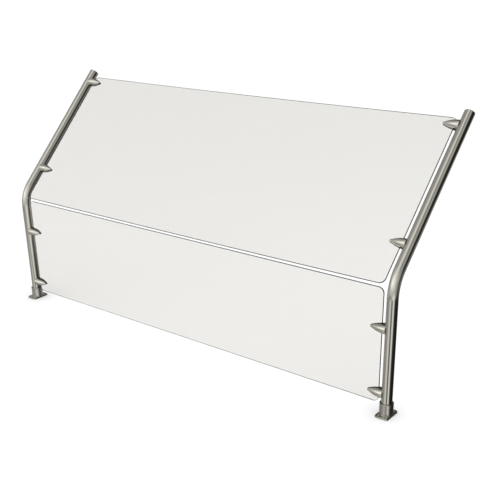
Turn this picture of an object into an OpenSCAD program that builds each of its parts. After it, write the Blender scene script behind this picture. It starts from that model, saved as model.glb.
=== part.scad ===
// Countertop sneeze guard: two bent stainless tube posts on bolt-down flanges carry
// an upright lower glass pane and a leaning upper glass pane in split bullet-shaped clamps.
// Origin: on the counter, midway between the two posts. The posts lean back towards +Y.

/* [Overall] */
// Distance between the centre lines of the two posts
post_spacing = 1790; // [600:10:2000]
// Height above the counter of the point where the two straight runs of a post meet
bend_height = 470; // [390:5:700]
// Length of the leaning run, from that point to the end of the post
lean_length = 645; // [450:5:900]
// Lean of the upper run from upright
lean_angle = 45; // [20:1:60]

/* [Post tube] */
// Outside diameter of the tube
tube_d = 38.1; // [31:0.1:46]
// Wall thickness of the tube
tube_wall = 1.6; // [1.2:0.1:2.5]
// Radius of the bend, at the centre line of the tube
bend_radius = 130; // [90:5:160]
// How much the bend draws in each face of the tube's wall
bend_draw = 0.05; // [0.02:0.01:0.1]
// Depth of the end plug inside the tube
plug_depth = 14; // [8:1:25]
// Height of the plug's crown above the end of the tube
plug_crown = 2.5; // [1.5:0.5:5]

/* [Mounting flange] */
// Distance that the plate runs out past the collar at the front and the back
plate_ear = 14; // [12:1:25]
// Distance that the plate runs out past the collar at each side
plate_lip = 1; // [0:0.5:10]
// Thickness of the flange plate
plate_thick = 6; // [4:0.5:10]
// Corner radius of the flange plate
plate_corner = 9; // [5:1:10]
// Distance of each mounting hole from the plate's edges
hole_margin = 10; // [8:0.5:11]
// Diameter of the mounting holes
mount_hole_d = 5.5; // [4.5:0.1:6.5]
// Diameter of the countersink of the mounting holes
countersink_d = 10; // [8:0.5:10.5]
// Wall thickness of the collar that holds the tube
collar_wall = 4.8; // [3:0.1:6]
// Height of the top of the collar above the counter
collar_height = 47; // [40:1:55]
// Height of the tube's seat above the counter
tube_seat = 4; // [2:0.5:5]
// Chamfer round the mouth of the collar
collar_chamfer = 2; // [0.5:0.5:3]
// Diameter of the set screws
set_screw_d = 6; // [4:1:8]
// Height of the set screws above the counter
set_screw_height = 27; // [20:1:32]
// Angle of each set screw from straight back
set_screw_angle = 35; // [25:1:60]

/* [Glass] */
// Thickness of the glass
glass_thick = 6; // [5:0.5:8]
// Gap between the side of a tube and the edge of the glass
glass_gap = 12; // [9:0.5:16]
// Corner radius of the panes
glass_corner = 20; // [8:1:40]
// Height of the lower pane's bottom edge above the counter
lower_pane_bottom = 39; // [30:1:60]
// Distance from the bend point down to the lower pane's top edge
lower_pane_drop = 22; // [18:1:40]
// Distance that the upper pane runs on below the bend point
upper_pane_tail = 10; // [0:1:12]
// Distance of the upper pane's top edge from the end of the lean
upper_pane_margin = 27; // [10:1:60]

/* [Glass clamps] */
// How far a clamp at its widest stays inside the tube's outline
clamp_shoulder = 2.75; // [1:0.05:4]
// How far a clamp reaches back round the side of the tube
clamp_wrap = 7; // [4:0.5:9]
// Diameter of the nose that ends each half of a clamp
clamp_nose_d = 10; // [9:0.5:14]
// Depth of the neck where the swelling part of a half meets its nose
clamp_neck = 0.8; // [0.5:0.1:1.5]
// Length of a clamp, from the side of the tube to the tip of the nose
clamp_length = 55; // [40:1:80]
// Thickness of the rubber on each face of the glass
rubber_thick = 2; // [1.5:0.1:3]
// Half width of the root that joins a clamp body to the tube
root_half = 12; // [11:0.5:12.5]
// Height of the lowest clamps above the lower pane's bottom edge
clamp_1_rise = 38; // [30:1:100]
// Distance of the next clamps from the bend point, down the post
clamp_2_drop = 160; // [100:1:220]
// Distance of the upper pane's lower clamps from the bend point, up the lean
clamp_3_rise = 138; // [100:1:220]
// Distance of the top clamps from the upper pane's top edge, down the lean
clamp_4_drop = 28; // [25:1:100]

/* [Clamp fasteners] */
// Diameter of the bolt that holds a clamp to the tube
clamp_bolt_d = 6; // [5:0.5:6]
// Clearance of that bolt's head in the gap between the halves of a clamp, on each side
clamp_bolt_head_fit = 0.3; // [0.2:0.1:0.5]
// Height of that bolt's head
clamp_bolt_head_h = 3; // [2.5:0.5:3]
// Clearance between that bolt's head and the edge of the glass
clamp_bolt_glass_fit = 1; // [0.5:0.5:2]
// Diameter of the rivet nut's barrel
rivet_nut_d = 9; // [8:0.5:10]
// Length of the rivet nut's barrel inside the tube
rivet_nut_length = 11; // [8:1:13]
// Diameter of the rivet nut's rim
rivet_rim_d = 12; // [11:0.5:12]
// Diameter of the screws that close a clamp
cover_screw_d = 4; // [3:0.5:4]
// Distance of each cover screw from the middle of its clamp
cover_screw_offset = 8.2; // [8:0.1:8.5]
// Diameter of the cover screws' heads
cover_screw_head_d = 7; // [6:0.5:7]
// Height of the cover screws' heads
cover_screw_head_h = 2.4; // [2:0.2:3]

/* [Fits] */
// Clearance between a tube and what slides into it or over it
slip_fit = 0.15; // [0.1:0.05:0.3]
// Clearance round bolts, screws and rivet nuts
fastener_fit = 0.2; // [0.1:0.05:0.3]

/* [Hidden] */
$fn = 64;
cut = 1;                                    // how far a cutter runs past what it cuts

tube_r = tube_d / 2;
bore_r = tube_r - tube_wall;
bend_tangent = bend_radius * tan(lean_angle / 2);
lower_top = bend_height - bend_tangent;     // where the upright run ends and the bend starts
tube_end = lean_length - plug_crown;        // end of the tube, measured up the lean
saddle_r = tube_r + slip_fit;
bend_lap = 0.1;                             // how far the leaning run laps over the bend

collar_bore_r = tube_r + slip_fit;
collar_r = collar_bore_r + collar_wall;
plate_width = 2 * (collar_r + plate_lip);
plate_length = 2 * (collar_r + plate_ear);
hole_x = plate_width / 2 - hole_margin;
hole_y = plate_length / 2 - hole_margin;

glass_edge = tube_r + glass_gap;            // edge of the glass, from the post's centre line
pane_width = post_spacing - 2 * glass_edge;
lower_pane_top = bend_height - lower_pane_drop;
upper_pane_top = lean_length - upper_pane_margin;

slot_half = glass_thick / 2 + rubber_thick; // half of the gap between the halves of a clamp
nose_r = clamp_nose_d / 2;
swell_top = tube_r - clamp_shoulder;        // a half's widest radius, at the side of the tube
swell_run = clamp_length - nose_r;          // from there to the middle of the nose
swell_drop = swell_top - nose_r + clamp_neck;
swell_r = (pow(swell_run, 2) + pow(swell_drop, 2)) / (2 * swell_drop);  // radius of its curve
clamp_room = 4 * tube_r;                    // more than a clamp's size across

clamp_bolt_head_r = slot_half - clamp_bolt_head_fit;
root_end = glass_edge - clamp_bolt_head_h - clamp_bolt_glass_fit;
rivet_rim_h = 1;
cover_screw_x = (tube_r + root_end) / 2 + slip_fit;
cover_seat = slot_half + 4;                 // how high the cover screws' heads sit
cover_screw_tip = slot_half + 6;            // how deep the cover screws reach into the body
socket_ratio = 0.5;                         // hex socket across corners, as a share of its screw
hex_sides = 6;

steel = "silver";
dark_steel = "dimgray";
glass = [0.86, 0.88, 0.84, 0.35];
rubber = [0.08, 0.08, 0.08];

// Stands its children on the left or the right post: x = 0 is the post's centre line and
// +X points at the glass
module on_post(side) {
    if (side == "left") translate([-post_spacing / 2, 0, 0]) children();
    else mirror([1, 0, 0]) translate([-post_spacing / 2, 0, 0]) children();
}

// Tips its children over with the leaning run, with z = 0 at the bend point
module on_lean() {
    translate([0, 0, bend_height]) rotate([-lean_angle, 0, 0]) children();
}

// Clamps 1 to 4 count from the counter up
module at_clamp(place) {
    if (place == 1) translate([0, 0, lower_pane_bottom + clamp_1_rise]) children();
    if (place == 2) translate([0, 0, bend_height - clamp_2_drop]) children();
    if (place == 3) on_lean() translate([0, 0, clamp_3_rise]) children();
    if (place == 4) on_lean() translate([0, 0, upper_pane_top - clamp_4_drop]) children();
}

module at_every_clamp() {
    for (side = ["left", "right"], place = [1:4])
        on_post(side) at_clamp(place) children();
}

// Rod along X
module rod_x(r, x_from, x_to) {
    translate([x_from, 0, 0]) rotate([0, 90, 0]) cylinder(h = x_to - x_from, r = r);
}

// Rod along Y
module rod_y(r, y_from, y_to) {
    translate([0, y_from, 0]) rotate([-90, 0, 0]) cylinder(h = y_to - y_from, r = r);
}

// Hexagonal socket that opens along +Z at z = 0
module hex_socket(across, depth) {
    translate([0, 0, -depth]) cylinder(h = depth + cut, d = across, $fn = hex_sides);
}

// Flat plate with rounded corners, centred in X and Y
module rounded_plate(width, length, thick, corner) {
    translate([-width / 2, -length / 2 + corner, 0])
        cube([width, length - 2 * corner, thick]);
    translate([-width / 2 + corner, -length / 2, 0])
        cube([width - 2 * corner, length, thick]);
    for (x = [-1, 1], y = [-1, 1])
        translate([x * (width / 2 - corner), y * (length / 2 - corner), 0])
            cylinder(h = thick, r = corner);
}

// Solid or bore of a bent tube, from z_from on the upright run to u_to on the lean
module bent_rod(r, bend_r, z_from, u_to) {
    translate([0, 0, z_from]) cylinder(h = lower_top - z_from, r = r);
    translate([0, bend_radius, lower_top]) rotate([90, 0, -90])
        rotate_extrude(angle = lean_angle, $fn = 96)
            translate([bend_radius, 0]) circle(r = bend_r);
    on_lean() translate([0, 0, bend_tangent - bend_lap])
        cylinder(h = u_to - bend_tangent + bend_lap, r = r);
}

module post(side) {
    color(steel) on_post(side) difference() {
        bent_rod(tube_r, tube_r - bend_draw, tube_seat, tube_end);
        bent_rod(bore_r, bore_r + bend_draw, tube_seat - cut, tube_end + cut);
        for (place = [1:4])
            at_clamp(place) rod_x(rivet_nut_d / 2 + fastener_fit, bore_r / 2, tube_r + cut);
    }
}

module end_plug(side) {
    plug_r = bore_r - slip_fit;
    color(steel) on_post(side) on_lean() {
        translate([0, 0, tube_end - plug_depth]) cylinder(h = plug_depth, r = plug_r);
        translate([0, 0, tube_end]) cylinder(h = plug_crown / 2, r = tube_r);
        translate([0, 0, tube_end + plug_crown / 2])
            cylinder(h = plug_crown / 2, r1 = tube_r, r2 = tube_r - plug_crown);
    }
}

// Places its children on the axis of each set screw, pointing outwards along +Z
module at_set_screws() {
    for (turn = [-set_screw_angle, set_screw_angle])
        translate([0, 0, set_screw_height]) rotate([-90, 0, turn]) children();
}

module flange(side) {
    countersink_h = (countersink_d - mount_hole_d) / 2;
    color(steel) on_post(side) difference() {
        union() {
            rounded_plate(plate_width, plate_length, plate_thick, plate_corner);
            cylinder(h = collar_height, r = collar_r);
        }
        translate([0, 0, tube_seat]) cylinder(h = collar_height, r = collar_bore_r);
        translate([0, 0, collar_height - collar_chamfer])
            cylinder(h = collar_chamfer + cut, r1 = collar_bore_r, r2 = collar_bore_r + collar_chamfer + cut);
        for (x = [-hole_x, hole_x], y = [-hole_y, hole_y]) translate([x, y, 0]) {
            translate([0, 0, -cut]) cylinder(h = plate_thick + 2 * cut, d = mount_hole_d);
            translate([0, 0, plate_thick - countersink_h])
                cylinder(h = countersink_h + cut, d1 = mount_hole_d, d2 = countersink_d + 2 * cut);
        }
        at_set_screws() cylinder(h = collar_r + cut, r = set_screw_d / 2 + fastener_fit);
    }
}

module flange_set_screws() {
    screw_end = collar_r - fastener_fit;
    socket_depth = 2;
    color(dark_steel) for (side = ["left", "right"]) on_post(side) at_set_screws()
        difference() {
            translate([0, 0, collar_bore_r]) cylinder(h = screw_end - collar_bore_r, d = set_screw_d);
            translate([0, 0, screw_end]) hex_socket(set_screw_d * socket_ratio, socket_depth);
        }
}

// Pane that stands on z = bottom, in the plane of the posts
module pane(bottom, top) {
    translate([0, glass_thick / 2, (bottom + top) / 2]) rotate([90, 0, 0])
        rounded_plate(pane_width, top - bottom, glass_thick, glass_corner);
}

module lower_glass() {
    color(glass) pane(lower_pane_bottom, lower_pane_top);
}

module upper_glass() {
    color(glass) on_lean() pane(-upper_pane_tail, upper_pane_top);
}

// Outline of a clamp, with its axis along Y: the lens that two wide arcs make, and the
// circle that ends it. The arcs' circles are so large that they need finer steps than the rest
module clamp_outline(inset) {
    intersection() {
        translate([swell_top - swell_r, 0]) circle(r = swell_r - inset, $fn = 360);
        translate([swell_r - swell_top, 0]) circle(r = swell_r - inset, $fn = 360);
        translate([-swell_top, -clamp_wrap]) square([2 * swell_top, clamp_wrap + swell_run]);
    }
    translate([0, swell_run]) circle(r = nose_r - inset);
}

// Leaves room for the tube in a clamp
module saddle() {
    translate([0, 0, -clamp_room / 2]) cylinder(h = clamp_room, r = saddle_r);
}

// Rear half of a clamp: the outline turned half way round, behind the gap
module clamp_half() {
    difference() {
        translate([tube_r, slot_half, 0]) rotate([0, 90, 0]) rotate_extrude(angle = 180)
            intersection() {
                clamp_outline(0);
                translate([0, -clamp_wrap]) square([swell_top, clamp_wrap + clamp_length]);
            }
        saddle();
    }
}

// What fills the gap between the halves: the same outline, as thick as the gap
module clamp_filling(inset) {
    difference() {
        translate([tube_r, 0, 0]) rotate([90, 90, 0])
            linear_extrude(height = 2 * slot_half, center = true) clamp_outline(inset);
        saddle();
    }
}

// Block that joins the front half to the tube, inside the gap between the halves
module root_block(extra) {
    translate([0, -slot_half, -root_half - extra])
        cube([root_end + extra, 2 * slot_half, 2 * (root_half + extra)]);
}

module cover_screw_axes() {
    for (z = [-cover_screw_offset, cover_screw_offset]) translate([cover_screw_x, 0, z]) children();
}

// Front half of a clamp, with the root that bolts to the tube
module clamp_body(side, place) {
    color(steel) on_post(side) at_clamp(place) difference() {
        union() {
            mirror([0, 1, 0]) clamp_half();
            intersection() {
                clamp_filling(0);
                root_block(0);
            }
        }
        rod_x(clamp_bolt_d / 2 + fastener_fit, 0, root_end + cut);
        rod_x(rivet_rim_d / 2 + fastener_fit, 0, tube_r + rivet_rim_h + fastener_fit);
        cover_screw_axes() rod_y(cover_screw_d / 2 + fastener_fit, -cover_screw_tip - cut, clamp_room);
    }
}

// Rear half of a clamp
module clamp_cover(side, place) {
    color(steel) on_post(side) at_clamp(place) difference() {
        clamp_half();
        rod_x(rivet_rim_d / 2 + fastener_fit, 0, tube_r + rivet_rim_h + fastener_fit);
        cover_screw_axes() {
            rod_y(cover_screw_d / 2 + fastener_fit, 0, clamp_room);
            rod_y(cover_screw_head_d / 2 + fastener_fit, cover_seat, clamp_room);
        }
    }
}

// U-shaped rubber between the halves, round the edge of the glass
module clamp_rubber(side, place) {
    rubber_inset = 0.5;
    head_room = clamp_bolt_head_r + fastener_fit;
    color(rubber) on_post(side) at_clamp(place) difference() {
        clamp_filling(rubber_inset);
        root_block(fastener_fit);
        translate([glass_edge, -glass_thick / 2, -clamp_room / 2])
            cube([clamp_room, glass_thick, clamp_room]);
        translate([0, -slot_half - cut, -head_room])
            cube([glass_edge + cut, 2 * (slot_half + cut), 2 * head_room]);
    }
}

module clamp_bolts() {
    bolt_tip = tube_r - rivet_nut_length;
    color(dark_steel) at_every_clamp() difference() {
        union() {
            rod_x(clamp_bolt_d / 2, bolt_tip, root_end);
            rod_x(clamp_bolt_head_r, root_end, root_end + clamp_bolt_head_h);
        }
        translate([root_end + clamp_bolt_head_h, 0, 0]) rotate([0, 90, 0])
            hex_socket(clamp_bolt_d * socket_ratio, clamp_bolt_head_h / 2);
    }
}

module clamp_cover_screws() {
    color(dark_steel) at_every_clamp() cover_screw_axes() difference() {
        union() {
            rod_y(cover_screw_d / 2, -cover_screw_tip, cover_seat);
            rod_y(cover_screw_head_d / 2, cover_seat, cover_seat + cover_screw_head_h);
        }
        translate([0, cover_seat + cover_screw_head_h, 0]) rotate([-90, 0, 0])
            hex_socket(cover_screw_d * socket_ratio, cover_screw_head_h / 2);
    }
}

module rivet_nuts() {
    color(dark_steel) at_every_clamp() difference() {
        union() {
            rod_x(rivet_nut_d / 2, tube_r - rivet_nut_length, saddle_r);
            rod_x(rivet_rim_d / 2, saddle_r, tube_r + rivet_rim_h);
        }
        rod_x(clamp_bolt_d / 2 + fastener_fit / 2, 0, root_end);
    }
}

post("left");  // post_left
post("right");  // post_right
end_plug("left");  // end_plug_left
end_plug("right");  // end_plug_right
flange("left");  // flange_left
flange("right");  // flange_right
flange_set_screws();
lower_glass();
upper_glass();
clamp_body("left", 1);  // clamp_body_left_1
clamp_body("left", 2);  // clamp_body_left_2
clamp_body("left", 3);  // clamp_body_left_3
clamp_body("left", 4);  // clamp_body_left_4
clamp_body("right", 1);  // clamp_body_right_1
clamp_body("right", 2);  // clamp_body_right_2
clamp_body("right", 3);  // clamp_body_right_3
clamp_body("right", 4);  // clamp_body_right_4
clamp_cover("left", 1);  // clamp_cover_left_1
clamp_cover("left", 2);  // clamp_cover_left_2
clamp_cover("left", 3);  // clamp_cover_left_3
clamp_cover("left", 4);  // clamp_cover_left_4
clamp_cover("right", 1);  // clamp_cover_right_1
clamp_cover("right", 2);  // clamp_cover_right_2
clamp_cover("right", 3);  // clamp_cover_right_3
clamp_cover("right", 4);  // clamp_cover_right_4
clamp_rubber("left", 1);  // clamp_rubber_left_1
clamp_rubber("left", 2);  // clamp_rubber_left_2
clamp_rubber("left", 3);  // clamp_rubber_left_3
clamp_rubber("left", 4);  // clamp_rubber_left_4
clamp_rubber("right", 1);  // clamp_rubber_right_1
clamp_rubber("right", 2);  // clamp_rubber_right_2
clamp_rubber("right", 3);  // clamp_rubber_right_3
clamp_rubber("right", 4);  // clamp_rubber_right_4
clamp_bolts();
clamp_cover_screws();
rivet_nuts();
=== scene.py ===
import math
import bmesh
import bpy
import numpy as np
from mathutils import Matrix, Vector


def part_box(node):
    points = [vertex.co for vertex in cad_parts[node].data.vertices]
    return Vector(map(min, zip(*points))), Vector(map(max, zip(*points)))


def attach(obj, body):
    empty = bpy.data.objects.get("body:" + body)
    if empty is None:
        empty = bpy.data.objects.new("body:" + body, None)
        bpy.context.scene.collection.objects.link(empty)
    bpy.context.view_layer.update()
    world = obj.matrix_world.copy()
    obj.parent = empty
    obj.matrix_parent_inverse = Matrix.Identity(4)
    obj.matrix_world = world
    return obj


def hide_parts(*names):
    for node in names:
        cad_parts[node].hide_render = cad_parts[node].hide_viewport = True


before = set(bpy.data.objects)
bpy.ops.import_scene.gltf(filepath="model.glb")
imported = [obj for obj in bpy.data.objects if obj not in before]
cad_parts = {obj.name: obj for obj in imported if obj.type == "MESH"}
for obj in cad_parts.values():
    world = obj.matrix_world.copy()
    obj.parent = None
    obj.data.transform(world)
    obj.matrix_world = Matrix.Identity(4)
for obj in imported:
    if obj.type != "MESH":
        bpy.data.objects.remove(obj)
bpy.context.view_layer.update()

scene = bpy.context.scene
sides = {"left": 1.0, "right": -1.0}        # the way from each post to the glass, along X
places = (1, 2, 3, 4)                       # clamps, counted from the counter up
mm = 0.001


def gridFaces(rows, cols, wrapRows, wrapCols):
    # quads of a grid of points, each joined to the next row and the next column
    r = np.arange(rows if wrapRows else rows - 1)
    c = np.arange(cols if wrapCols else cols - 1)
    i, j = np.meshgrid(r, c, indexing="ij")
    i2, j2 = (i + 1) % rows, (j + 1) % cols
    quads = np.stack([i * cols + j, i * cols + j2, i2 * cols + j2, i2 * cols + j], axis=-1)
    corners = np.stack([np.stack([i, j], -1), np.stack([i, j + 1], -1),
                        np.stack([i + 1, j + 1], -1), np.stack([i + 1, j], -1)], axis=2)
    return quads.reshape(-1, 4), corners.reshape(-1, 4, 2)


class Shell:
    # gathers grids of points into one mesh, with a UV map in metres and a material index
    def __init__(self):
        self.points, self.quads, self.uvs, self.slots, self.count = [], [], [], [], 0

    def grid(self, points, wrapRows=False, wrapCols=False, uv=None, slot=0):
        points = np.asarray(points, float)
        rows, cols = points.shape[:2]
        quads, corners = gridFaces(rows, cols, wrapRows, wrapCols)
        if uv is None:
            u, v = np.meshgrid(np.arange(cols + 1.0), np.arange(rows + 1.0))
            uv = np.stack([u, v], -1) * mm
        self.points.append(points.reshape(-1, 3))
        self.quads.append(quads + self.count)
        self.uvs.append(uv[corners[..., 0], corners[..., 1]])
        self.slots.append(np.broadcast_to(slot, len(quads)))
        self.count += rows * cols
        return self

    def finish(self, name, sharpAngle=30.0):
        merge = 2e-6                            # points nearer than this become one
        points, quads = np.concatenate(self.points), np.concatenate(self.quads)
        uvs, slots = np.concatenate(self.uvs), np.concatenate(self.slots)
        mesh = bpy.data.meshes.new(name)
        mesh.from_pydata(points.tolist(), [], quads.tolist())
        layer = mesh.uv_layers.new(name="UVMap")
        layer.data.foreach_set("uv", uvs.reshape(-1))
        mesh.polygons.foreach_set("material_index", slots.astype(np.int32))
        work = bmesh.new()
        work.from_mesh(mesh)
        bmesh.ops.remove_doubles(work, verts=work.verts, dist=merge)
        bmesh.ops.dissolve_degenerate(work, dist=merge, edges=work.edges)
        bmesh.ops.recalc_face_normals(work, faces=work.faces)
        work.to_mesh(mesh)
        work.free()
        smoothByAngle(mesh, sharpAngle)
        piece = bpy.data.objects.new(name, mesh)
        scene.collection.objects.link(piece)
        return piece


def smoothByAngle(mesh, angle):
    mesh.polygons.foreach_set("use_smooth", np.ones(len(mesh.polygons), bool))
    mesh.set_sharp_from_angle(angle=math.radians(angle))


def arc(centre, radius, start, end, steps):
    # points of a circle's arc in a plane, from one angle in degrees to another
    a = np.radians(np.linspace(start, end, steps))
    return np.stack([centre[0] + radius * np.cos(a), centre[1] + radius * np.sin(a)], -1)


def lathe(profile, steps):
    # (r, z) profile turned about Z: x = r cos a, y = r sin a
    a = np.linspace(0, 2 * math.pi, steps, endpoint=False)
    profile = np.asarray(profile)
    points = np.stack([profile[:, :1] * np.cos(a), profile[:, :1] * np.sin(a),
                       np.repeat(profile[:, 1:], steps, 1)], -1)
    along = np.concatenate([[0], np.cumsum(np.hypot(*np.diff(profile, axis=0).T)), [0]])
    around = np.linspace(0, 1, steps + 1) * 2 * math.pi * profile[:, 0].max()
    return Shell().grid(points, wrapCols=True, uv=np.stack(np.meshgrid(around, along), -1))


def carve(piece, cutters, added=(), sharpAngle=30.0):
    # joins the added pieces on, takes the cutters out, and leaves a plain mesh
    tools = [(tool, "UNION") for tool in added] + [(tool, "DIFFERENCE") for tool in cutters]
    for tool, operation in tools:
        change = piece.modifiers.new("carve", "BOOLEAN")
        change.operation, change.object, change.solver = operation, tool, "EXACT"
    bpy.context.view_layer.update()
    result = piece.evaluated_get(bpy.context.evaluated_depsgraph_get())
    mesh = bpy.data.meshes.new_from_object(result)
    piece.modifiers.clear()
    old = piece.data
    piece.data = mesh
    bpy.data.meshes.remove(old)
    for tool, _ in tools:
        bpy.data.objects.remove(tool)
    smoothByAngle(piece.data, sharpAngle)
    return piece


def shifted(x, y, z):
    # 4 x 4 matrix that only moves
    matrix = np.eye(4)
    matrix[:3, 3] = (x, y, z)
    return matrix


def place(piece, matrix, mirrored=False):
    # puts a piece's mesh where the 4 x 4 matrix says, and leaves its object at the origin
    flat = np.zeros(len(piece.data.vertices) * 3)
    piece.data.vertices.foreach_get("co", flat)
    points = flat.reshape(-1, 3) @ matrix[:3, :3].T + matrix[:3, 3]
    piece.data.vertices.foreach_set("co", points.reshape(-1))
    if mirrored:
        piece.data.flip_normals()
    piece.data.update()
    return piece


def joinPiece(piece, cadName, materials):
    # gives a piece its materials and its body, and hides the CAD node it stands for
    for material in materials:
        piece.data.materials.append(material)
    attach(piece, "root")
    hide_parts(cadName)


leanAngle = math.radians(45.0)                          # the posts' lean from upright
leanY, leanZ = math.sin(leanAngle), math.cos(leanAngle)
postLow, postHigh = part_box("post_left")
tubeR = (postHigh[0] - postLow[0]) / 2
tubeEnd = (postHigh[1] - tubeR * leanZ) / leanY         # end of the tube, up the lean
bendHeight = postHigh[2] - tubeEnd * leanZ - tubeR * leanY
postX = {"left": (postLow[0] + postHigh[0]) / 2}
postX["right"] = -postX["left"]


def runMatrix(side, onLean, distance):
    # the frame of a clamp: x towards the glass, y to the server's side, z up the post
    c, s = (leanZ, leanY) if onLean else (1.0, 0.0)
    matrix = shifted(postX[side], distance * s, bendHeight + distance * c)
    matrix[:3, :3] = np.array([[sides[side], 0, 0], [0, c, s], [0, -s, c]])
    return matrix


def clampMatrix(side, number):
    low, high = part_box("clamp_rubber_%s_%d" % (side, number))
    if number > 2:
        return runMatrix(side, True, (low[1] + high[1]) / 2 / leanY)
    return runMatrix(side, False, (low[2] + high[2]) / 2 - bendHeight)


def linear(hexColour):
    # sRGB hex to linear light, opaque
    parts = [int(hexColour[i:i + 2], 16) / 255 for i in (1, 3, 5)]
    return [p / 12.92 if p <= 0.04045 else ((p + 0.055) / 1.055) ** 2.4 for p in parts] + [1.0]


def node(tree, kind, links=None, **settings):
    # adds a node: settings by attribute or socket name, links as socket = (node, output)
    made = tree.nodes.new(kind)
    for key, value in settings.items():
        if hasattr(made, key) and key not in made.inputs:
            setattr(made, key, value)
        else:
            made.inputs[key.replace("_", " ")].default_value = value
    for key, (source, output) in (links or {}).items():
        tree.links.new(source.outputs[output], made.inputs[key])
    return made


def newMaterial(name):
    material = bpy.data.materials.new(name)
    material.use_nodes = True
    tree = material.node_tree
    tree.nodes.clear()
    return material, tree


def speckle(tree, scale, detail, roughness=0.5):
    # cloudy noise through the piece, with scale clouds to a metre
    where = node(tree, "ShaderNodeTexCoord")
    return node(tree, "ShaderNodeTexNoise", {"Vector": (where, "Object")},
                Scale=scale, Detail=detail, Roughness=roughness)


def twoTone(tree, drift, first, second):
    # goes from one colour to the other as the noise drifts
    tone = node(tree, "ShaderNodeMix", {"Factor": (drift, "Fac")}, data_type="RGBA")
    tone.inputs[6].default_value, tone.inputs[7].default_value = linear(first), linear(second)
    return tone


def roughRange(tree, drift, look):
    return node(tree, "ShaderNodeMapRange", {"Value": (drift, "Fac")},
                To_Min=look["rough"], To_Max=look["rough"] + look["roughSpread"])


def surface(tree, links, **settings):
    shader = node(tree, "ShaderNodeBsdfPrincipled", links, **settings)
    node(tree, "ShaderNodeOutputMaterial", {"Surface": (shader, "BSDF")})


def wornSurface(tree, look, tones, dulling, relief, metallic):
    # tones drives the colour, dulling the roughness and relief the bump
    colour = twoTone(tree, tones, look["colour"], look["dull"])
    rough = roughRange(tree, dulling, look)
    bump = node(tree, "ShaderNodeBump", {"Height": (relief, "Fac")},
                Strength=look["bump"], Distance=look["bumpDepth"])
    surface(tree, {"Base Color": (colour, 2), "Roughness": (rough, "Result"),
                   "Normal": (bump, "Normal")}, Metallic=metallic)


def brushedTube():
    # stainless tube, ground by a belt that runs round it: fine rings, so reflections smear
    # along the tube and stay crisp across it
    look = {"colour": "#CDCBC1", "dull": "#BEBCB1", "rough": 0.07, "roughSpread": 0.04,
            "ringPitch": 0.6 * mm, "ringDrift": 2.0, "blotchScale": 9.0, "bump": 0.06,
            "bumpDepth": 0.05 * mm}
    material, tree = newMaterial("brushedStainlessTube")
    uv = node(tree, "ShaderNodeUVMap", uv_map="UVMap")
    stretched = node(tree, "ShaderNodeMapping", {"Vector": (uv, "UV")},
                     Scale=(look["ringDrift"], 1 / look["ringPitch"], 1.0))
    rings = node(tree, "ShaderNodeTexNoise", {"Vector": (stretched, "Vector")},
                 Scale=1.0, Detail=3.0, Roughness=0.6)
    blotch = speckle(tree, look["blotchScale"], 4.0, 0.6)
    wornSurface(tree, look, blotch, rings, rings, 1.0)
    return material


def castSteel(name, look):
    # investment-cast stainless, tumbled and satin polished: softly mottled, with faint scuffs
    material, tree = newMaterial(name)
    grain = speckle(tree, 1 / look["grain"], 3.0, 0.6)
    blotch = speckle(tree, 1 / look["blotch"], 3.0, 0.55)
    wornSurface(tree, look, blotch, blotch, grain, 1.0)
    return material


def mouldedRubber():
    # moulded black rubber: matt, with a fine pebble from the mould
    look = {"colour": "#0B0B0B", "dull": "#1A1A19", "rough": 0.62, "roughSpread": 0.12,
            "pebble": 0.7 * mm, "bump": 0.25, "bumpDepth": 0.1 * mm}
    material, tree = newMaterial("mouldedRubber")
    pebble = speckle(tree, 1 / look["pebble"], 2.0)
    wornSurface(tree, look, pebble, pebble, pebble, 0.0)
    return material


def paneGlass():
    # float glass, tempered: clear, with a slight grey body colour that drifts a little
    look = {"colour": "#E9E8E5", "haze": "#E7E6E2", "hazeScale": 2.2, "rough": 0.0, "ior": 1.52}
    material, tree = newMaterial("floatGlass")
    colour = twoTone(tree, speckle(tree, look["hazeScale"], 3.0), look["colour"], look["haze"])
    surface(tree, {"Base Color": (colour, 2)}, Roughness=look["rough"], IOR=look["ior"],
            Transmission_Weight=1.0)
    return material


def paintedEdgeGlass(name, colour):
    # the same glass at its ground and polished edge, in dark, middle and pale copies whose colour
    # is painted shade and painted light: light that enters an edge comes from deep inside the
    # pane, so each edge is painted dark or pale depending on what lies that way
    look = {"rough": 0.2, "roughSpread": 0.1, "grind": 1.5 * mm, "ior": 1.52, "clear": 0.05}
    material, tree = newMaterial(name)
    rough = roughRange(tree, speckle(tree, 1 / look["grind"], 2.0), look)
    # the base colour is the edge's painted shade or painted light; little of the edge is clear
    surface(tree, {"Roughness": (rough, "Result")}, IOR=look["ior"], Base_Color=linear(colour),
            Transmission_Weight=look["clear"])
    return material


tubeSteel = brushedTube()
clampSteel = castSteel("satinCastClamp", {
    "colour": "#D8D5CB", "dull": "#C2BFB4", "rough": 0.1, "roughSpread": 0.08,
    "grain": 0.8 * mm, "blotch": 14 * mm, "bump": 0.12, "bumpDepth": 0.05 * mm})
flangeSteel = castSteel("satinCastFlange", {
    "colour": "#C4C1BA", "dull": "#A5A29A", "rough": 0.14, "roughSpread": 0.1,
    "grain": 0.9 * mm, "blotch": 18 * mm, "bump": 0.15, "bumpDepth": 0.05 * mm})
screwSteel = castSteel("turnedStainlessScrew", {
    "colour": "#B4B2AD", "dull": "#8E8B85", "rough": 0.2, "roughSpread": 0.08,
    "grain": 0.4 * mm, "blotch": 3 * mm, "bump": 0.1, "bumpDepth": 0.05 * mm})
rubber = mouldedRubber()
glassFace = paneGlass()
# edge glass with painted dark shade, painted middle shade and painted pale light, slots 1 to 3
paintedEdgeShades = [paintedEdgeGlass("glassEdgePaintedDarkShade", "#030403"),
              paintedEdgeGlass("glassEdgePaintedMiddleShade", "#171A18"),
              paintedEdgeGlass("glassEdgePaintedPaleLight", "#4E534F")]
print("materials made")


postLook = {"bendRadius": 130 * mm, "wall": 1.6 * mm, "endRound": 0.4 * mm, "around": 64,
            "step": 40 * mm, "bendSteps": 24}


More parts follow.
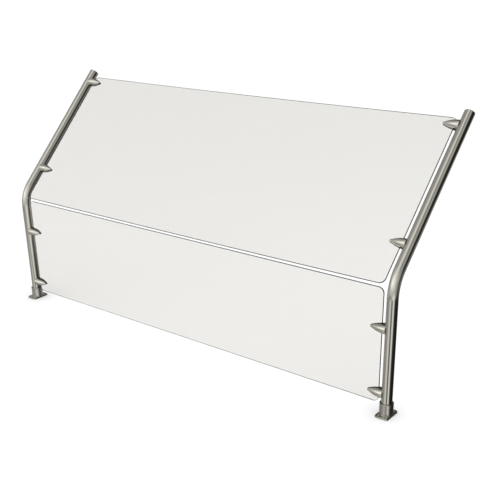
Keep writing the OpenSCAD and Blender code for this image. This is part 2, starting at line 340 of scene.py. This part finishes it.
def bentTube(side):
    # centre line: straight up, an arc of the bend radius, then straight up the lean. Each
    # station carries the wall's section round the tube: p + r (cos a X + sin a (X x t))
    look = postLook
    bottom = postLow[2] - bendHeight
    tangent = look["bendRadius"] * math.tan(leanAngle / 2)
    upright = np.linspace(bottom, -tangent, round((-tangent - bottom) / look["step"]))
    bend = np.linspace(0, leanAngle, look["bendSteps"] + 1)[1:]
    lean = np.linspace(tangent, tubeEnd, round((tubeEnd - tangent) / look["step"]))[1:]
    y = np.concatenate([0 * upright, look["bendRadius"] * (1 - np.cos(bend)), lean * leanY])
    z = np.concatenate([upright, -tangent + look["bendRadius"] * np.sin(bend), lean * leanZ])
    turn = np.concatenate([0 * upright, bend, 0 * lean + leanAngle])
    along = np.concatenate([upright, -tangent + look["bendRadius"] * bend,
                            lean - 2 * tangent + look["bendRadius"] * leanAngle])
    edge = look["endRound"]
    outer, inner = tubeR, tubeR - look["wall"]
    radii = np.concatenate([[inner + edge, outer - edge], np.full(len(y), outer),
                            [outer - edge, inner + edge], np.full(len(y), inner)])
    order = np.arange(len(y))
    pick = np.concatenate([[0, 0], order, [len(y) - 1] * 2, order[::-1]])
    lift = np.zeros(len(pick))
    lift[2], lift[len(y) + 1] = edge, -edge                 # the outer ends are rounded off
    lift[len(y) + 4], lift[-1] = -edge, edge
    a = np.linspace(0, 2 * math.pi, look["around"], endpoint=False)
    c, s = np.cos(turn[pick]), np.sin(turn[pick])
    points = np.stack([postX[side] + radii[:, None] * np.cos(a) + 0 * c[:, None],
                       (y[pick] + lift * s)[:, None] + radii[:, None] * np.sin(a) * c[:, None],
                       (bendHeight + z[pick] + lift * c)[:, None]
                       - radii[:, None] * np.sin(a) * s[:, None]], -1)
    u = np.linspace(0, 1, look["around"] + 1) * 2 * math.pi * tubeR
    v = np.append(along[pick], along[pick][0])
    return Shell().grid(points, True, True, np.stack(np.meshgrid(u, v), -1))


for side in sides:
    post = bentTube(side).finish("bent_post_%s" % side, 40)
    joinPiece(post, "post_%s" % side, [tubeSteel])


plugLook = {"depth": 14 * mm, "fit": 0.15 * mm, "crown": 2.5 * mm, "rimRound": 0.6 * mm,
            "stemEdge": 0.5 * mm}


def endPlug(side):
    # stem inside the tube, a rim flush with the tube and a low dome, turned about Z
    look = plugLook
    stem, edge = tubeR - postLook["wall"] - look["fit"], look["stemEdge"]
    rim = arc((tubeR - look["rimRound"], look["rimRound"]), look["rimRound"], 0, 55, 6)
    t = np.linspace(0, 1, 12)[1:]
    startR, startZ = rim[-1]
    dome = np.stack([startR * (1 - t), startZ + (look["crown"] - startZ) * (1 - (1 - t) ** 2)], -1)
    profile = np.concatenate([[[0, -look["depth"]], [stem - edge, -look["depth"]],
                               [stem, -look["depth"] + edge], [stem, 0], [tubeR, 0]], rim, dome])
    plug = lathe(profile, 64).finish("end_plug_cap_%s" % side, 35)
    return place(plug, runMatrix(side, True, tubeEnd), side == "right")


for side in sides:
    joinPiece(endPlug(side), "end_plug_%s" % side, [clampSteel])
print("posts made")


flangeLook = {"thick": 6 * mm, "corner": 9 * mm, "edge": 1.0 * mm, "footEdge": 0.3 * mm,
              "collarTop": 47 * mm, "collarWall": 4.8 * mm, "rim": 0.8 * mm, "fit": 0.15 * mm,
              "mouth": 2 * mm, "foot": 0.9 * mm, "seat": 4 * mm, "holeMargin": 10 * mm,
              "hole": 5.5 * mm, "sink": 10 * mm, "setHoleR": 3.2 * mm, "setFlare": 0.5 * mm,
              "setHeight": 27 * mm, "setTurn": 35.0,
              "over": 1 * mm}       # how far cutters and joined pieces reach past a face


def roundedOutline(halfX, halfY, corner, steps):
    # a rectangle with round corners, anticlockwise, with the outward direction at each point
    points, outward = [], []
    for k, (sx, sy) in enumerate(((1, 1), (-1, 1), (-1, -1), (1, -1))):
        a = np.radians(np.linspace(90 * k, 90 * k + 90, steps))
        away = np.stack([np.cos(a), np.sin(a)], -1)
        points.append(np.array([sx * (halfX - corner), sy * (halfY - corner)]) + corner * away)
        outward.append(away)
    return np.concatenate(points), np.concatenate(outward)


def flangePlate(halfX, halfY):
    # rows go from the middle of the underside out, up the side and back in on top
    look = flangeLook
    outline, outward = roundedOutline(halfX, halfY, look["corner"], 12)
    e, foot = look["edge"], look["footEdge"]
    turn = np.radians(np.linspace(0, 90, 6))
    inset = np.concatenate([[foot, 0], e - e * np.cos(turn)])
    height = np.concatenate([[0, foot], look["thick"] - e + e * np.sin(turn)])
    ring = outline[None] - outward[None] * inset[:, None, None]
    rows = np.concatenate([ring[:1] * 0, ring, ring[:1] * 0])
    heights = np.concatenate([[0], height, [look["thick"]]])
    z = np.broadcast_to(heights[:, None, None], rows.shape[:2] + (1,))
    return Shell().grid(np.concatenate([rows, z], -1), wrapCols=True)


def flangeCollar(bore, collar):
    # foot fillet, side, rounded rim, chamfered mouth and bore down to the tube's seat
    look = flangeLook
    f, rim, top = look["foot"], look["rim"], look["collarTop"]
    return lathe(np.concatenate([
        [[0, look["over"]], [collar + f, look["over"]]],
        arc((collar + f, look["thick"] + f), f, 270, 180, 6),
        arc((collar - rim, top - rim), rim, 0, 90, 6),
        [[bore + look["mouth"], top], [bore, top - look["mouth"]], [bore, look["seat"]],
         [0, look["seat"]]]]), 96)


def boltDrill(x, y):
    # cutter for one countersunk hole
    r, sink = flangeLook["hole"] / 2, flangeLook["sink"] / 2
    top, over = flangeLook["thick"], flangeLook["over"]
    drill = lathe([[0, -over], [r, -over], [r, top - (sink - r)], [sink, top],
                   [sink, top + over], [0, top + over]], 32)
    return place(drill.finish("drill"), shifted(x, y, 0))


def setScrewDrill(turnBy, bore, collar):
    # cutter through the collar's wall, turned from the server's side, flared at its mouth
    r, flare = flangeLook["setHoleR"], flangeLook["setFlare"]
    start = bore - 3 * flangeLook["over"]
    drill = lathe([[0, start], [r, start], [r, collar - flare],
                   [r + 2 * flare, collar + flare], [0, collar + flare]], 32)
    t = math.radians(turnBy)
    at = shifted(0, 0, flangeLook["setHeight"])
    at[:3, :3] = [[math.cos(t), 0, -math.sin(t)], [math.sin(t), 0, math.cos(t)], [0, -1, 0]]
    return place(drill.finish("setDrill"), at)


def flangePiece(side):
    look = flangeLook
    low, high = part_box("flange_%s" % side)
    halfX, halfY = (high[0] - low[0]) / 2, (high[1] - low[1]) / 2
    bore = tubeR + look["fit"]
    collar = bore + look["collarWall"]
    plate = flangePlate(halfX, halfY).finish("flange_foot_%s" % side)
    cup = flangeCollar(bore, collar).finish("collar")
    holeX, holeY = halfX - look["holeMargin"], halfY - look["holeMargin"]
    drills = [boltDrill(x * holeX, y * holeY) for x in (-1, 1) for y in (-1, 1)]
    drills += [setScrewDrill(way * look["setTurn"], bore, collar) for way in (-1, 1)]
    return place(carve(plate, drills, [cup]), shifted(postX[side], 0, 0))


for side in sides:
    joinPiece(flangePiece(side), "flange_%s" % side, [flangeSteel])
print("flanges made")


glassLook = {"corner": 20 * mm, "arris": 0.8 * mm, "cornerSteps": 16, "acrossSteps": 48,
             "faceRows": 13,
             "leanSag": 7 * mm,     # a leaning pane this wide and thin sags under its own weight
             "sideEdgeShade": 1, "lowerEdgeShades": (2, 3), "upperEdgeShades": (3, 1),   # slots of the painted edge shades, 1 dark, 2 middle, 3 pale: top, bottom
             "sideShare": 0.7}      # share of a corner that has the side edge's slot


def paneShell(halfX, bottom, top, thick, sag, topEdgeShade, bottomEdgeShade):
    # the rim is the arris profile carried round the outline; each face joins the outline's
    # top and bottom at the same x. Sag: y grows by sag (1 - (x / halfX)^2)
    look = glassLook
    c, a = look["corner"], look["arris"]
    halfZ, midZ = (top - bottom) / 2, (top + bottom) / 2
    turn = np.radians(np.linspace(0, 90, look["cornerSteps"]))

    def outline(inset):
        # upper half from right to left, then the lower half back: same x stations
        r = c - inset
        x = np.concatenate([halfX - c + r * np.cos(turn),
                            np.linspace(halfX - c, c - halfX, look["acrossSteps"])[1:-1],
                            -(halfX - c) - r * np.sin(turn)])
        z = np.concatenate([halfZ - c + r * np.sin(turn),
                            np.full(look["acrossSteps"] - 2, halfZ - inset),
                            halfZ - c + r * np.cos(turn)])
        return x, z

    rows = []
    for inset, y in ((a, -thick / 2), (0, -thick / 2 + a), (0, thick / 2 - a), (a, thick / 2)):
        x, z = outline(inset)
        loopX, loopZ = np.concatenate([x, x[::-1]]), np.concatenate([z, -z[::-1]])
        rows.append(np.stack([loopX, 0 * loopX + y, loopZ + midZ], -1))

    def bent(points):
        x = points[..., 0]
        return points + np.stack([0 * x, sag * (1 - (x / halfX) ** 2), 0 * x], -1)

    # each rim face takes the slot of its painted edge shade: top, bottom or side
    edge = np.where(loopZ > 0, topEdgeShade, bottomEdgeShade)
    edge = np.where(np.abs(loopX) > halfX - c * look["sideShare"], look["sideEdgeShade"], edge)
    shell = Shell().grid(bent(np.array(rows)), wrapCols=True, slot=np.tile(edge, len(rows) - 1))
    x, z = outline(a)
    across = np.linspace(-1, 1, look["faceRows"])[:, None]
    for y in (-thick / 2, thick / 2):
        face = np.stack([0 * across + x, 0 * across + 0 * x + y, across * z + midZ], -1)
        shell.grid(bent(face))
    return shell


lowerLow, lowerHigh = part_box("lower_glass")
lower = paneShell((lowerHigh[0] - lowerLow[0]) / 2, lowerLow[2] - bendHeight,
                  lowerHigh[2] - bendHeight, lowerHigh[1] - lowerLow[1], 0.0,
                  *glassLook["lowerEdgeShades"])
lowerPane = place(lower.finish("clear_lower_pane", 20), runMatrix("left", False, 0))
upperLow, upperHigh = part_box("upper_glass")
glassThick = lowerHigh[1] - lowerLow[1]
upperTop = (upperHigh[1] - glassThick / 2 * leanZ) / leanY
upperBottom = (upperLow[2] - bendHeight + glassThick / 2 * leanY) / leanZ
upper = paneShell((upperHigh[0] - upperLow[0]) / 2, upperBottom, upperTop, glassThick,
                  glassLook["leanSag"], *glassLook["upperEdgeShades"])
upperPane = place(upper.finish("clear_upper_pane", 20), runMatrix("left", True, 0))
for pane, name in ((lowerPane, "lower_glass"), (upperPane, "upper_glass")):
    place(pane, shifted(-postX["left"], 0, 0))
    joinPiece(pane, name, [glassFace] + paintedEdgeShades)
    pane.visible_shadow = pane.visible_diffuse = False      # clear panes do not dim the paper
print("glass made")


clampLook = {"shoulder": 2.75 * mm, "wrap": 7 * mm, "noseR": 5 * mm, "neck": 0.8 * mm,
             "length": 55 * mm, "slotHalf": 5 * mm, "fit": 0.15 * mm, "edge": 0.8 * mm,
             "tubeEdge": 0.5 * mm, "tubeShrink": 0.03,      # the broken edge at the tube
             "along": 44, "crowding": 1.3,                  # rows crowd towards the nose
             "flatShare": 0.25, "cornerShare": 0.45,        # where flat and corner end, of 1
             "flatSteps": 4, "cornerSteps": 6, "arcSteps": 14, "noseSteps": 6, "faceRows": 9,
             "rootHalf": 12 * mm, "rootLength": 8 * mm, "rootCorner": 0.6 * mm,
             "rootSink": 0.45 * mm, "rootClear": 0.05 * mm}
screwLook = {"holeR": 2.2 * mm, "headR": 3.7 * mm, "seat": 9 * mm, "inner": 4 * mm,
             "outer": 40 * mm, "fromTube": 4.15 * mm, "offset": 8.2 * mm}


def clampRadius(x):
    # a wide arc, r = top - R + sqrt(R^2 - (x - tube radius)^2), and the ball that ends it
    look = clampLook
    noseX = tubeR + look["length"] - look["noseR"]
    run, top = noseX - tubeR, tubeR - look["shoulder"]
    drop = top - look["noseR"] + look["neck"]
    wide = (run ** 2 + drop ** 2) / (2 * drop)
    swell = top - wide + np.sqrt(np.clip(wide ** 2 - (x - tubeR) ** 2, 0, None))
    ball = np.sqrt(np.clip(look["noseR"] ** 2 - (x - noseX) ** 2, 0, None))
    return np.where(x < noseX, np.maximum(swell, ball), ball)


def halfSection(r, t):
    # half a disc of radius r that lies on the slot's face, with its corners rounded: (y, z)
    # on one side, at t from 0 (middle of the flat) to 1 (middle of the arc)
    look = clampLook
    h, f = look["slotHalf"], look["edge"]
    cy = h + f
    cz = np.sqrt(np.clip((r - f) ** 2 - f ** 2, 0, None))
    tip = np.arctan2(cz, f)                     # from +Y to the corner's centre
    flat, corner = look["flatShare"], look["cornerShare"]
    a = np.clip((t - flat) / (corner - flat), 0, 1)
    b = np.clip((t - corner) / (1 - corner), 0, 1)
    cornerTurn = math.pi - (math.pi - tip) * a  # direction from +Y
    arcTurn = tip * (1 - b)
    y = np.where(t <= corner, cy + f * np.cos(cornerTurn), h + r * np.cos(arcTurn))
    z = np.where(t <= corner, cz + f * np.sin(cornerTurn), r * np.sin(arcTurn))
    z = np.where(t <= flat, cz * t / flat, z)
    y = np.where(t <= flat, h, y)
    return y, z


def sectionSteps():
    # the t of each point of a half section: along the flat, round the corner, up the arc
    look = clampLook
    flat, corner = look["flatShare"], look["cornerShare"]
    return np.concatenate([np.linspace(0, flat, look["flatSteps"] + 1)[:-1],
                           np.linspace(flat, corner, look["cornerSteps"] + 1)[:-1],
                           np.linspace(corner, 1, look["arcSteps"] + 1)])


def tubeFace(y):
    # x of the saddle round the tube, sqrt(R^2 - y^2), or of the flat shoulder that ends it
    saddle = tubeR + clampLook["fit"]
    return np.maximum(np.sqrt(np.clip(saddle ** 2 - y ** 2, 0, None)), tubeR - clampLook["wrap"])


def clampHalf():
    # columns go round the section, rows from the tube to the nose. A row's x starts on the
    # tube, and ends where only the corner rounding is left of the section
    look = clampLook
    t = sectionSteps()
    noseX = tubeR + look["length"] - look["noseR"]
    endX = noseX + math.sqrt(look["noseR"] ** 2 - (2 * look["edge"]) ** 2)
    startX = np.full(t.shape, tubeR + look["fit"])
    for _ in range(8):                          # start and section settle on each other
        startX = tubeFace(halfSection(clampRadius(startX), t)[0])
    e = look["tubeEdge"]
    a = 1 - (1 - np.linspace(0, 1, look["along"])[:, None]) ** look["crowding"]
    x = startX + e + (endX - startX - e) * a
    y, z = halfSection(clampRadius(x), t[None])
    cap = np.radians(np.linspace(0, 90, look["noseSteps"]))[1:, None]
    capX = endX + (noseX + look["noseR"] - endX) * np.sin(cap) + 0 * t
    midY = look["slotHalf"] + look["edge"]
    capY = midY + (y[-1] - midY) * np.cos(cap)
    capZ = z[-1] * np.cos(cap)
    firstY, firstZ = halfSection(clampRadius(startX), t)
    firstY = firstY + (firstY.mean() - firstY) * look["tubeShrink"]
    firstZ = firstZ * (1 - look["tubeShrink"])
    firstX = tubeFace(firstY)
    right = np.stack([np.concatenate([firstX[None], x, capX]),
                      np.concatenate([firstY[None], y, capY]),
                      np.concatenate([firstZ[None], z, capZ])], -1)
    left = right[:, ::-1] * np.array([1, 1, -1])
    shell = Shell().grid(np.concatenate([right, left[:, 1:-1]], 1), wrapCols=True)
    k = np.linspace(-1, 1, look["faceRows"])[:, None]       # face on the tube, side to side
    return shell.grid(np.stack([0 * k + firstX, 0 * k + firstY, k * firstZ], -1))


def rootBlock(shell):
    # block in the slot that joins the front half to the tube: it sinks into the front half,
    # and stays clear of the rear one. Its rows run out from the tube
    look = clampLook
    saddle = tubeR + look["fit"]
    sink, clear = look["rootSink"], look["rootClear"]
    outline, _ = roundedOutline(look["slotHalf"] + (sink - clear) / 2, look["rootHalf"],
                                look["rootCorner"], 5)
    outline = outline - np.array([(sink + clear) / 2, 0])
    startX = np.sqrt(saddle ** 2 - outline[:, 0] ** 2)
    x = startX + (tubeR + look["rootLength"] - startX) * np.array([0, 0.5, 1.0])[:, None]
    x = np.concatenate([x[:1], x, x[-1:]])
    yz = np.broadcast_to(outline, (3,) + outline.shape)
    yz = np.concatenate([yz[:1] * 0, yz, yz[:1] * 0])
    return shell.grid(np.concatenate([x[..., None], yz], -1), wrapCols=True)


def screwPocket(z):
    # cutter for one cover screw: clearance hole, then the pocket for its head
    hole, head, seat = screwLook["holeR"], screwLook["headR"], screwLook["seat"]
    inner, outer = screwLook["inner"], screwLook["outer"]
    cutter = lathe([[0, inner], [hole, inner], [hole, seat], [head, seat], [head, outer],
                    [0, outer]], 32)
    at = shifted(tubeR + screwLook["fromTube"], 0, z)
    at[:3, :3] = [[1, 0, 0], [0, 0, 1], [0, -1, 0]]
    return place(cutter.finish("pocket"), at)


rearHalf = carve(clampHalf().finish("rearHalf", 35),
                 [screwPocket(screwLook["offset"]), screwPocket(-screwLook["offset"])],
                 sharpAngle=35)
frontShell = clampHalf()
frontShell.points = [p * np.array([1, -1, 1]) for p in frontShell.points]
frontHalf = rootBlock(frontShell).finish("frontHalf", 35)

for side in sides:
    for number in places:
        tag = "%s_%d" % (side, number)
        matrix = clampMatrix(side, number)
        for source, cadName, name in ((frontHalf, "clamp_body", "clamp_front"),
                                      (rearHalf, "clamp_cover", "clamp_rear")):
            piece = bpy.data.objects.new("%s_%s" % (name, tag), source.data.copy())
            scene.collection.objects.link(piece)
            place(piece, matrix, side == "right")
            joinPiece(piece, "%s_%s" % (cadName, tag), [clampSteel])
bpy.data.objects.remove(frontHalf)
bpy.data.objects.remove(rearHalf)


def dressCad(name, material):
    # a CAD piece that is seen as it is, with its real material
    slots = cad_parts[name].data.materials
    slots.clear()
    slots.append(material)


for side in sides:
    for number in places:
        dressCad("clamp_rubber_%s_%d" % (side, number), rubber)
for name in ("flange_set_screws", "clamp_bolts", "clamp_cover_screws", "rivet_nuts"):
    dressCad(name, screwSteel)
print("clamps made")


floorLook = {"colour": "#FEFEFE", "fibre": "#FCFCFC", "fibreScale": 6.0, "rough": 0.9,
             "radii": (0.0, 2.0, 8.0, 30.0, 80.0), "around": 64}


def stageFloor():
    # matt white paper sheet, far larger than the guard
    look = floorLook
    material, tree = newMaterial("paperFloor")
    colour = twoTone(tree, speckle(tree, look["fibreScale"], 3.0), look["colour"], look["fibre"])
    surface(tree, {"Base Color": (colour, 2)}, Roughness=look["rough"])
    radius = np.array(look["radii"])[:, None]
    a = np.linspace(0, 2 * math.pi, look["around"], endpoint=False)
    points = np.stack([radius * np.cos(a), radius * np.sin(a), 0 * radius + 0 * a], -1)
    floor = Shell().grid(points, wrapCols=True).finish("paper_floor")
    floor.data.materials.append(material)
    floor.visible_glossy = False            # metal mirrors the dim room below, not the paper


roomLook = {
    "level": 1.1,                   # the white room that lights everything
    # what metal mirrors, one row for each elevation in degrees: azimuth (0 towards the diner,
    # growing towards +X) and brightness there. Tall lights, walls and dark gaps between them
    "rows": {
        -23: ((-180, 0.5), (-109, 0.48), (-78, 0.33), (-55, 0.44), (-36, 0.46), (-19, 0.95),
              (-3, 1.0), (13, 0.3), (28, 0.14), (43, 1.1), (57, 1.0), (75, 0.08), (92, 0.03),
              (111, 0.02), (134, 0.015), (165, 0.06), (180, 0.4)),
        -15: ((-180, 0.7), (-109, 0.72), (-84, 0.62), (-53, 0.44), (-30, 0.42), (-11, 0.44),
              (6, 0.6), (22, 0.95), (38, 1.25), (53, 1.15), (68, 0.65), (84, 0.28), (100, 0.1),
              (115, 0.13), (136, 0.42), (159, 0.53), (180, 0.7)),
        -4: ((-180, 0.12), (-150, 0.25), (-124, 0.42), (-100, 0.4), (-60, 0.6), (-29, 0.8),
             (0, 0.8), (30, 0.8), (60, 0.6), (91, 0.28), (103, 0.08), (118, 0.03), (146, 0.03),
             (165, 0.18), (180, 0.12)),
        20: ((-180, 0.06), (-148, 0.08), (-126, 0.42), (-102, 0.4), (-70, 0.7), (-29, 1.7),
             (0, 1.4), (30, 1.0), (60, 0.65), (89, 0.42), (99, 0.12), (108, 0.015), (150, 0.015),
             (165, 0.05), (180, 0.06)),
        50: ((-180, 0.08), (-142, 0.1), (-116, 0.36), (-90, 0.42), (-70, 0.46), (-51, 0.72),
             (-10, 1.15), (13, 1.05), (34, 0.8), (60, 0.32), (73, 0.42), (88, 0.72), (97, 0.35),
             (104, 0.04), (113, 0.015), (150, 0.015), (180, 0.08))}}


def bandRow(tree, share, stops):
    # one row of the room: brightness against azimuth
    row = node(tree, "ShaderNodeValToRGB", {"Fac": (share, "Result")})
    ramp = row.color_ramp
    ramp.interpolation = "EASE"
    ramp.elements.remove(ramp.elements[1])
    ramp.elements[0].position = 0.0
    ramp.elements[0].color = [stops[0][1]] * 3 + [1]
    for degrees, level in stops[1:]:
        ramp.elements.new((degrees + 180) / 360).color = [level] * 3 + [1]
    return row


def makeRoom():
    # a white room for the eye; what polished metal mirrors is the same room with its tall
    # lights and dark gaps, blended from row to row by elevation
    world = bpy.data.worlds.new("studioRoom")
    scene.world = world
    world.use_nodes = True
    tree = world.node_tree
    tree.nodes.clear()
    where = node(tree, "ShaderNodeTexCoord")
    parts = node(tree, "ShaderNodeSeparateXYZ", {"Vector": (where, "Generated")})
    front = node(tree, "ShaderNodeMath", {0: (parts, "Y")}, operation="MULTIPLY")
    front.inputs[1].default_value = -1.0
    angle = node(tree, "ShaderNodeMath", {0: (parts, "X"), 1: (front, "Value")},
                 operation="ARCTAN2")
    share = node(tree, "ShaderNodeMapRange", {"Value": (angle, "Value")},
                 From_Min=-math.pi, From_Max=math.pi)
    height = node(tree, "ShaderNodeMath", {0: (parts, "Z")}, operation="ARCSINE")
    room, below = None, None
    for elevation, stops in sorted(roomLook["rows"].items()):
        row = bandRow(tree, share, stops)
        if room is None:
            room, output, below = row, "Color", elevation
            continue
        rise = node(tree, "ShaderNodeMapRange", {"Value": (height, "Value")},
                    From_Min=math.radians(below), From_Max=math.radians(elevation),
                    interpolation_type="SMOOTHSTEP")
        room = node(tree, "ShaderNodeMix",
                    {0: (rise, "Result"), 6: (room, output), 7: (row, "Color")}, data_type="RGBA")
        output, below = 2, elevation
    path = node(tree, "ShaderNodeLightPath")
    white = node(tree, "ShaderNodeBackground", Strength=roomLook["level"], Color=(1, 1, 1, 1))
    banded = node(tree, "ShaderNodeBackground", {"Color": (room, output)}, Strength=1.0)
    mix = node(tree, "ShaderNodeMixShader", {"Fac": (path, "Is Glossy Ray"),
                                             1: (white, "Background"), 2: (banded, "Background")})
    node(tree, "ShaderNodeOutputWorld", {"Surface": (mix, "Shader")})


def standing(right, up, back, position):
    # world matrix of a camera or a light that looks against its back direction
    return Matrix([[right[i], up[i], back[i], position[i]] for i in range(3)] + [[0, 0, 0, 1]])


overheadLook = {"size": 3.0, "power": 6.0, "position": (0.5, -0.5, 3.5), "target": (0, 0.2, 0.4)}


def overheadLight():
    # large soft light above; neither the metal nor the glass shows it
    look = overheadLook
    data = bpy.data.lights.new("softOverhead", "AREA")
    data.shape, data.size, data.energy = "SQUARE", look["size"], look["power"]
    light = bpy.data.objects.new("softOverhead", data)
    scene.collection.objects.link(light)
    away = np.array(look["position"], float) - np.array(look["target"], float)
    away /= np.linalg.norm(away)
    sideways = np.cross([0, 0, 1.0], away)
    sideways /= np.linalg.norm(sideways)
    light.matrix_world = standing(sideways, np.cross(away, sideways), away, look["position"])
    light.visible_glossy = light.visible_transmission = False


cameraLook = {"position": (2.081, -2.228, 1.451), "turn": 38.287, "down": 24.435, "roll": -0.963,
              "lens": 61.66, "sensor": 36.0, "shiftUp": 0.158, "farClip": 500.0}


def makeCamera():
    # turn is measured from straight in front, towards +X; down is below the horizon
    look = cameraLook
    turn, down, roll = (math.radians(look[k]) for k in ("turn", "down", "roll"))
    back = np.array([math.sin(turn) * math.cos(down), -math.cos(turn) * math.cos(down),
                     math.sin(down)])
    right = np.cross(-back, [0, 0, 1.0])
    right /= np.linalg.norm(right)
    up = np.cross(back, right)
    rolledRight = math.cos(roll) * right + math.sin(roll) * up
    rolledUp = -math.sin(roll) * right + math.cos(roll) * up
    data = bpy.data.cameras.new("camera")
    data.sensor_width, data.lens, data.shift_y = look["sensor"], look["lens"], look["shiftUp"]
    data.clip_end = look["farClip"]
    camera = bpy.data.objects.new("camera", data)
    scene.collection.objects.link(camera)
    camera.matrix_world = standing(rolledRight, rolledUp, back, look["position"])
    scene.camera = camera


stageFloor()
makeRoom()
makeCamera()
overheadLight()
scene.view_settings.view_transform = "Standard"
print("stage made")
